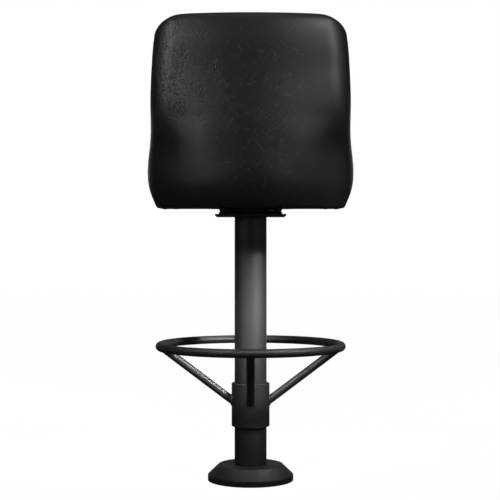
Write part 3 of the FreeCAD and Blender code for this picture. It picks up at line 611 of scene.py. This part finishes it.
# %% [markdown]
# ## The outer cover
# One piece of leather is drawn over the moulded shell and its thin foam, from the lower hem to
# the rim. It lies flat on the foam, so it is smoothed and not swelled, and its shape shows mostly
# in its highlights. Its hem hangs a little lower behind than in front, the foam stands a little
# proud along the crest, and the leather bridges the shell's waist on both sides of the middle.

# %% Rules for the cover's form
HEM_HEIGHT = 0.645
HEM_REACH = 0.035
SEAT_FRONT = -0.192
SEAT_REAR = 0.175
FRONT_RISE = 0.004
REAR_DROP = 0.003
CREST_RISE = 0.0018
CREST_REACH = 0.045
CREST_LIP = 0.010
CREST_SIDES = (0.13, 0.19)
BRIDGE_FRONT = 0.08
BRIDGE_HEIGHT = 0.780
BRIDGE_REACH = 0.075
BRIDGE_DEPTH = 0.0050
BRIDGE_INNER = (0.04, 0.13)
BRIDGE_OUTER = (0.155, 0.205)


def hem_rule(place):
    near = 1 - eased(place.z, HEM_HEIGHT, HEM_HEIGHT + HEM_REACH)
    rearward = (place.y - SEAT_FRONT) / (SEAT_REAR - SEAT_FRONT)
    return near * (FRONT_RISE - (FRONT_RISE + REAR_DROP) * rearward)


def crest_rule(place):
    top = cad_high.z
    middle = 1 - eased(abs(place.x), *CREST_SIDES)
    return CREST_RISE * middle * eased(place.z, top - CREST_REACH, top - CREST_LIP)


def bridge(form):
    """The leather is drawn straight across the shell's hollow waist, but not at its sides."""
    for point in form.verts:
        if point.co.y > BRIDGE_FRONT:
            share = max(0, 1 - abs(point.co.z - BRIDGE_HEIGHT) / BRIDGE_REACH)
            aside = abs(point.co.x)
            across = eased(aside, *BRIDGE_INNER) * (1 - eased(aside, *BRIDGE_OUTER))
            point.co.y += BRIDGE_DEPTH * across * eased(share, 0, 1)


print("the hem falls", (FRONT_RISE + REAR_DROP) * 1000, "mm from front to rear")

# %% Outer cover
COVER_VOXEL = VOXEL * 0.75
COVER_PASSES = 8


def clothe(piece, node, slot):
    """Put a piece in the place of a padded node of the seat."""
    piece.data.materials.clear()
    piece.data.materials.append(finishes[slot])
    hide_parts(node)
    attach(piece, "seat")


outer_cover = shape_of("outer_cover", "outer_back_cover")
voxels(outer_cover, COVER_VOXEL)
smooth(outer_cover, COVER_PASSES)
edit(outer_cover, bridge)
pull(outer_cover, hem_rule)
pull(outer_cover, crest_rule)
clothe(outer_cover, "outer_back_cover", "back_leather")
print("outer cover", len(outer_cover.data.polygons), "faces")

# %% [markdown]
# ## The rim
# A round roll covers the shell's edge between the outer cover and the inside panels. It is a thin
# form, so it gets finer voxels, and it is grown outwards by what the smoothing takes away.

# %% Rim roll
RIM_VOXEL = VOXEL / 2
RIM_PASSES = 6
RIM_PROUD = 0.0012


def fatten(form):
    form.normal_update()
    for point in form.verts:
        point.co += point.normal * RIM_PROUD


rim_roll = shape_of("rim_roll", "edge_roll")
voxels(rim_roll, RIM_VOXEL)
smooth(rim_roll, RIM_PASSES)
edit(rim_roll, fatten)
pull(rim_roll, crest_rule)
clothe(rim_roll, "edge_roll", "rim_leather")
print("rim roll", len(rim_roll.data.polygons), "faces")

# %% [markdown]
# ## The inside panels and the cushion
# The panels are sewn to each other and glued to the shell, so their hidden faces are held while
# the pressure lifts the faces that a sitter touches. They are swelled one at a time, because
# each is small enough for the cloth to settle in a few frames.

# %% Padded panels
HELD_REACH = 0.006
PANEL_VOXEL = VOXEL * 1.25
PANEL_PASSES = 6
SETTLE_PASSES = 3
backing = [tree_of(frame["nodes"][name]) for name in ("bucket_shell", "seat_board")]


def padded_piece(name, node, slot, limit):
    piece = shape_of(name, node)
    voxels(piece, PANEL_VOXEL)
    smooth(piece, PANEL_PASSES)
    held = [
        point.index
        for point in piece.data.vertices
        if any(tree.find_nearest(point.co, HELD_REACH)[0] for tree in backing)
    ]
    moved = puff(piece, held, limit)
    smooth(piece, SETTLE_PASSES)
    piece.modifiers.new("subdivision", "SUBSURF").levels = 1
    bake_modifiers(piece)
    pull(piece, hem_rule)
    pull(piece, crest_rule)
    clothe(piece, node, slot)
    print(name, len(piece.data.polygons), "faces, moved", round(moved * 1000, 1), "mm")
    return piece


centre_panel = padded_piece("centre_panel", "inside_back_pad", "pad_leather", 0.006)
left_side_panel = padded_piece("left_side_panel", "left_bolster", "pad_leather", 0.006)
right_side_panel = padded_piece("right_side_panel", "right_bolster", "pad_leather", 0.006)
cushion = padded_piece("cushion", "seat_cushion", "cushion_leather", 0.008)

# %% [markdown]
# ## The outline of the shell's foot
# The hide is drawn round the lower edge of the shell and stapled to the board, and the dust cloth
# covers the middle. The fold follows the shell's lower edge, so its outline is found first: going
# round, the point that lies furthest out in each direction.

# %% Outline of the shell's foot
OUTLINE_STEPS = 180
SAME_PLACE = 1e-4

shell_points = [point.co for point in frame["nodes"]["bucket_shell"].data.vertices]
shell_foot = min(place.z for place in shell_points)
foot_points = [place.copy() for place in shell_points if place.z < shell_foot + SAME_PLACE]
outline = []
for number in range(OUTLINE_STEPS):
    turn = 2 * math.pi * number / OUTLINE_STEPS
    furthest = max(foot_points, key=lambda p: p.x * math.cos(turn) + p.y * math.sin(turn))
    if not outline or (furthest - outline[-1]).length > SAME_PLACE:
        outline.append(furthest)
print("outline of", len(outline), "corners")

# %% [markdown]
# ## The fold of leather under the seat
# A flat band lies inside that outline. Solidify could thicken it, but its sides would then follow
# the slope of the corners, so the ring of quads is extruded straight down instead. Extrusion makes
# the side faces in another order on each run. They are sorted along a slanted line, on which no
# two of them meet, so that the piece comes out the same every time.

# %% Hem fold
FOLD_WIDTH = 0.034
FOLD_THICKNESS = 0.001
SLANTED_LINE = Vector((1.0, 7.3, 53.7))

fold_form = bmesh.new()
outer_edge = [fold_form.verts.new((p.x, p.y, shell_foot)) for p in outline]
inner_edge = []
for p in outline:
    kept = 1 - FOLD_WIDTH / math.hypot(p.x, p.y)
    inner_edge.append(fold_form.verts.new((p.x * kept, p.y * kept, shell_foot)))
for here in range(len(outline)):
    there = (here + 1) % len(outline)
    corners = (outer_edge[here], outer_edge[there], inner_edge[there], inner_edge[here])
    fold_form.faces.new(corners)
grown = bmesh.ops.extrude_face_region(fold_form, geom=fold_form.faces[:])["geom"]
lowered = [part for part in grown if isinstance(part, bmesh.types.BMVert)]
bmesh.ops.translate(fold_form, verts=lowered, vec=(0, 0, -FOLD_THICKNESS))
bmesh.ops.recalc_face_normals(fold_form, faces=fold_form.faces)
fold_form.faces.sort(key=lambda face: face.calc_center_median().dot(SLANTED_LINE))
hem_fold = piece_of(fold_form, "hem_fold")
hem_fold.data.materials.append(finishes["back_leather"])
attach(hem_fold, "seat")
print("hem fold", FOLD_WIDTH * 1000, "mm wide")

# %% [markdown]
# ## Tubes through points
# Threads and weld beads are both thin tubes that follow a line on a surface and change thickness
# on the way. A bevelled curve keeps one thickness unless each of its points is given a radius, so
# one function builds the tube from rings and joins or caps its ends.

# %% Helpers for tubes
TUBE_SIDES = 6


def ring_of(form, place, radius, aside, across):
    """The corners of one ring of a tube."""
    ring = []
    for side in range(TUBE_SIDES):
        turn = 2 * math.pi * side / TUBE_SIDES
        outwards = aside * math.cos(turn) + across * math.sin(turn)
        ring.append(form.verts.new(place + outwards * radius))
    return ring


def add_tube(form, places, radii, closed):
    """A tube through the places, with its ends capped, or joined when it is closed."""
    rings = []
    count = len(places)
    for number, (place, radius) in enumerate(zip(places, radii)):
        before = places[number - 1] if number or closed else place
        after = places[(number + 1) % count] if number + 1 < count or closed else place
        along = (after - before).normalized()
        aside = rings[-1][0].co - places[number - 1] if rings else along.orthogonal()
        aside = (aside - along * aside.dot(along)).normalized()
        rings.append(ring_of(form, place, radius, aside, along.cross(aside)))
    pairs = list(zip(rings, rings[1:])) + ([(rings[-1], rings[0])] if closed else [])
    for near, far in pairs:
        for side in range(TUBE_SIDES):
            beside = (side + 1) % TUBE_SIDES
            form.faces.new((near[side], near[beside], far[beside], far[side]))
    if not closed:
        form.faces.new(rings[0][::-1])
        form.faces.new(rings[-1])


def piece_from(form, name, body, slot):
    """A smooth piece that rides on a body."""
    bmesh.ops.recalc_face_normals(form, faces=form.faces)
    piece = piece_of(form, name)
    smooth_faces(piece.data)
    piece.data.materials.append(finishes[slot])
    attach(piece, body)
    return piece


print("tubes have", TUBE_SIDES, "sides")

# %% [markdown]
# ## Stitches
# A row of stitches runs down each side of the two seams of the inside back. Each stitch is a
# short thread whose points lie on the leather that is found straight behind them, and which
# narrows where it goes into its holes. A bump could draw them, but they would look flat.

# %% Stitches
SEAM_X = 0.125
STITCH_OFFSET = 0.007
STITCH_PITCH = 0.006
STITCH_LENGTH = 0.0042
STITCH_RADIUS = 0.0005
STITCH_SPAN = (0.80, 1.045)
BEFORE_SEAT = -0.3
# a place along the stitch and the thread's thickness there, as shares of the whole
STITCH_STATIONS = ((-0.5, 0.35), (-0.3, 1.0), (0.3, 1.0), (0.5, 0.35))
STITCH_RADII = [STITCH_RADIUS * size for _, size in STITCH_STATIONS]


def stitch_places(surface, x, z):
    """Where the points of a stitch meet the leather, or nothing where it lies too deep."""
    places = []
    for share, _ in STITCH_STATIONS:
        start = Vector((x, BEFORE_SEAT, z + share * STITCH_LENGTH))
        hit = surface.ray_cast(start, Vector((0, 1, 0)))[0]
        if hit:
            places.append(hit)
    whole = len(places) == len(STITCH_STATIONS)
    return places if whole and (places[0] - places[-1]).length < 2 * STITCH_LENGTH else None


stitch_form = bmesh.new()
stitches = 0
for seam in (-SEAM_X, SEAM_X):
    for side in (-1, 1):
        x = seam + side * STITCH_OFFSET
        side_panel = left_side_panel if x > 0 else right_side_panel
        surface = tree_of(centre_panel if abs(x) < SEAM_X else side_panel)
        z = STITCH_SPAN[0]
        while z < STITCH_SPAN[1]:
            places = stitch_places(surface, x, z)
            if places:
                add_tube(stitch_form, places, STITCH_RADII, False)
                stitches += 1
            z += STITCH_PITCH
seam_stitches = piece_from(stitch_form, "seam_stitches", "seat", "pad_leather")
print(stitches, "stitches")

# %% [markdown]
# ## Weld beads on the foot ring
# Each strut is welded to the collar and to the hoop. A bead follows the line where the two parts
# meet, and its thickness ripples as a weld pool leaves it. The line is found by shooting rays
# along the strut's surface, which works for a meeting of any two shapes.

# %% Weld beads on the foot ring
WELD_RADIUS = 0.0024
WELD_RIPPLE = 0.18
WELD_BEAT = 2.4
WELD_NOISE = 90
WELD_STEPS = 64
STRUT_COUNT = 4
STRUT_RADIUS = 0.0095
STRUT_FOOT = Vector((0.04515, 0, 0.1897))
STRUT_HEAD = Vector((0.2159, 0, 0.3183))


def bead(form, places, seed):
    radii = []
    for number, place in enumerate(places):
        ripple = math.sin(WELD_BEAT * number + seed) * noise.noise(place * WELD_NOISE)
        radii.append(WELD_RADIUS * (1 + WELD_RIPPLE * ripple))
    add_tube(form, places, radii, True)


hoop_surface = tree_of(frame["nodes"]["footring_hoop"])
collar_surface = tree_of(frame["nodes"]["footring_collar"])
ring_form = bmesh.new()
for number in range(STRUT_COUNT):
    around = Matrix.Rotation(2 * math.pi * number / STRUT_COUNT, 3, "Z")
    foot, head = around @ STRUT_FOOT, around @ STRUT_HEAD
    along = (head - foot).normalized()
    aside = along.orthogonal().normalized()
    across = along.cross(aside)
    for surface, direction in ((collar_surface, -along), (hoop_surface, along)):
        places = []
        for step in range(WELD_STEPS):
            turn = 2 * math.pi * step / WELD_STEPS
            edge = (aside * math.cos(turn) + across * math.sin(turn)) * STRUT_RADIUS
            hit = surface.ray_cast((foot + head) / 2 + edge, direction)[0]
            if hit:
                places.append(hit)
        print("strut", number + 1, len(places), "places")
        bead(ring_form, places, number)
ring_welds = piece_from(ring_form, "ring_welds", "footring", "powder_coat")

# %% [markdown]
# ## The weld under the top plate
# The column meets its top plate in a plain circle, so this bead needs no rays.

# %% Weld bead of the column
COLUMN_RADIUS = 0.0381
COLUMN_STEPS = 2 * WELD_STEPS

plate_foot = min(p.co.z for p in frame["nodes"]["column_top_plate"].data.vertices)
places = []
for step in range(COLUMN_STEPS):
    turn = 2 * math.pi * step / COLUMN_STEPS
    x, y = math.cos(turn) * COLUMN_RADIUS, math.sin(turn) * COLUMN_RADIUS
    places.append(Vector((x, y, plate_foot)))
column_form = bmesh.new()
bead(column_form, places, 0)
column_weld = piece_from(column_form, "column_weld", "pedestal", "powder_coat")
print("column weld at", round(plate_foot, 4), "m")

# %% [markdown]
# ## The floor
# The stool stands on a pale floor in front of a white wall. A floor that is white only because it
# is strongly lit would throw too much light on the stool, so part of its whiteness shows to the
# camera and to mirrors alone, and the rest is a plain surface that keeps the shadow.

# %% Floor
FLOOR_HALF = 12.0
FLOOR_PALE = (0.86, 0.86, 0.86, 1)
FLOOR_GLOW = 1.02
GLOW_SHARE = 0.94


def only_seen(path):
    """1 for what the camera, a gloss or a glass shows, and 0 for light that falls on things."""
    return path["Is Camera Ray"].larger(path["Is Glossy Ray"]).larger(path["Is Transmission Ray"])


def pale_floor():
    finish = Finish("pale_floor")
    seen = only_seen(finish.add("ShaderNodeLightPath", {}, {}))
    lit = finish.add("ShaderNodeBsdfDiffuse", {}, {"Color": FLOOR_PALE})["BSDF"]
    sockets = {"Color": (1, 1, 1, 1), "Strength": FLOOR_GLOW}
    glow = finish.add("ShaderNodeEmission", {}, sockets)["Emission"]
    shares = {0: seen * GLOW_SHARE, 1: lit, 2: glow}
    return finish.show(finish.add("ShaderNodeMixShader", {}, shares)["Shader"])


floor_form = bmesh.new()
bmesh.ops.create_grid(floor_form, x_segments=1, y_segments=1, size=FLOOR_HALF)
floor = piece_of(floor_form, "floor")
floor.data.materials.append(pale_floor())
print("floor", FLOOR_HALF * 2, "m wide")

# %% [markdown]
# ## Cloth round the set
# Black leather mirrors whatever is round it, so, as in a studio, dark cloth hangs round the set
# and lies on the floor. It only shows in reflections. A gap in it, beyond the stool as the camera
# sees it, leaves the white wall to light the stool's outline.

# %% Cloth round the set
TENT_RADIUS = 4.5
TENT_SEGMENTS = 72
GAP_HALF_TURN = math.radians(40)
GAP_LOW = 0.62
GAP_HIGH = 1.15
NEAR_GLOW = 0.03
FAR_GLOW = 0.02
CARPET_HEIGHT = 0.001


def hung_cloth(name, glow):
    """Cloth that throws back a little of the room's light."""
    finish = Finish(name)
    return finish.show(finish.add("ShaderNodeEmission", {}, {"Strength": glow})["Emission"])


def in_gap(face):
    """Whether a face of the tent lies in the gap beyond the stool, or under the floor."""
    middle = face.calc_center_median()
    turned = abs(math.atan2(middle.x, -middle.y))
    return middle.z < 0 or (turned < GAP_HALF_TURN and GAP_LOW < middle.z < GAP_HIGH)


def only_mirrored(cloth):
    cloth.visible_camera = False
    cloth.visible_shadow = False
    cloth.visible_diffuse = False
    cloth.visible_transmission = False


tent_form = bmesh.new()
rings = TENT_SEGMENTS // 2
bmesh.ops.create_uvsphere(
    tent_form, u_segments=TENT_SEGMENTS, v_segments=rings, radius=TENT_RADIUS
)
gap = [face for face in tent_form.faces if in_gap(face)]
bmesh.ops.delete(tent_form, geom=gap, context="FACES")
for face in tent_form.faces:
    face.material_index = int(face.calc_center_median().y < 0)
tent = piece_of(tent_form, "tent")
tent.data.materials.append(hung_cloth("grey_cloth", NEAR_GLOW))
tent.data.materials.append(hung_cloth("black_cloth", FAR_GLOW))
only_mirrored(tent)

carpet_form = bmesh.new()
bmesh.ops.create_circle(carpet_form, cap_ends=True, segments=TENT_SEGMENTS, radius=TENT_RADIUS)
bmesh.ops.translate(carpet_form, verts=carpet_form.verts, vec=(0, 0, CARPET_HEIGHT))
carpet = piece_of(carpet_form, "carpet")
carpet.data.materials.append(tent.data.materials[1])
only_mirrored(carpet)
print("dark cloth", TENT_RADIUS, "m round the set")

# %% [markdown]
# ## Lamps
# Lamps on both sides draw the soft highlights on the shoulders and the crest of the seat. Smaller
# ones light the column, the foot ring and the base cover, with grids that keep their light off
# the seat, and one large lamp overhead softens all the shadows. One big lamp would be simpler,
# but it would light the seat and the column alike, and the photograph doesn't.

# %% Lamps
LAMPS = (
    # name, azimuth, distance, height, height of its aim, size, watts, spread
    ("left_seat_lamp", 46, 1.6, 1.00, 1.00, (0.9, 0.5), 0.54, 32),
    ("right_seat_lamp", -48, 1.6, 1.00, 1.00, (0.9, 0.5), 0.20, 32),
    ("left_shoulder_lamp", 62, 1.6, 1.10, 1.02, (0.6, 0.4), 0.21, 26),
    ("right_shoulder_lamp", -62, 1.6, 1.10, 1.02, (0.6, 0.4), 0.29, 26),
    ("right_edge_lamp", -88, 1.6, 0.85, 0.85, (0.3, 0.9), 0.05, 40),
    ("middle_lamp", -28, 1.6, 1.00, 0.95, (0.5, 0.5), 0.10, 30),
    ("left_crest_lamp", 50, 1.6, 1.80, 1.05, (1.0, 0.8), 0.8, 24),
    ("right_crest_lamp", -46, 1.6, 1.90, 1.05, (1.0, 0.8), 1.8, 24),
    ("left_column_lamp", 38, 1.0, 1.12, 0.34, (0.15, 0.12), 0.09, 12),
    ("right_column_lamp", -46, 1.0, 1.12, 0.39, (0.25, 0.12), 0.50, 13),
    ("left_ring_lamp", 28, 1.0, 1.12, 0.30, (0.3, 0.15), 0.30, 18),
    ("right_ring_lamp", -50, 1.0, 1.12, 0.30, (0.3, 0.15), 0.75, 18),
    ("left_base_lamp", 40, 0.8, 1.1, 0.03, (0.2, 0.2), 0.055, 12),
    ("right_base_lamp", -70, 0.8, 1.1, 0.03, (0.2, 0.2), 0.12, 16),
    ("top_lamp", 0, 0.6, 3.2, 0.75, (2.0, 1.2), 8, 180),
)


def soft_lamp(name, azimuth_deg, distance, height, aim_height, size, watts, spread_deg):
    """A rectangular lamp with a grid. Azimuth 0 is behind the camera and grows towards +X."""
    data = bpy.data.lights.new(name, "AREA")
    data.shape = "RECTANGLE"
    data.size, data.size_y = size
    data.energy = watts
    data.spread = math.radians(spread_deg)
    lamp = bpy.data.objects.new(name, data)
    scene.collection.objects.link(lamp)
    azimuth = math.radians(azimuth_deg)
    place = Vector((math.sin(azimuth) * distance, math.cos(azimuth) * distance, height))
    towards = place - Vector((0, 0, aim_height))
    turned = towards.to_track_quat("Z", "Y").to_matrix().to_4x4()
    lamp.visible_camera = False
    lamp.matrix_world = Matrix.Translation(place) @ turned


for lamp_values in LAMPS:
    soft_lamp(*lamp_values)

# %% [markdown]
# ## The room
# The world gives an even light from all round. To the camera and in mirrors it is plain white,
# whatever its light on the stool, so that the background needs no extra light.

# %% World
AMBIENT = 0.85

room = Finish("white_room", bpy.data.worlds)
seen = only_seen(room.add("ShaderNodeLightPath", {}, {}))
ambient = room.add("ShaderNodeBackground", {}, {"Strength": AMBIENT})["Background"]
sockets = {"Color": (1, 1, 1, 1), "Strength": 1.0}
white = room.add("ShaderNodeBackground", {}, sockets)["Background"]
mixed = room.add("ShaderNodeMixShader", {}, {0: seen, 1: ambient, 2: white})["Shader"]
scene.world = room.show(mixed, "ShaderNodeOutputWorld")
print("white room, light", AMBIENT)
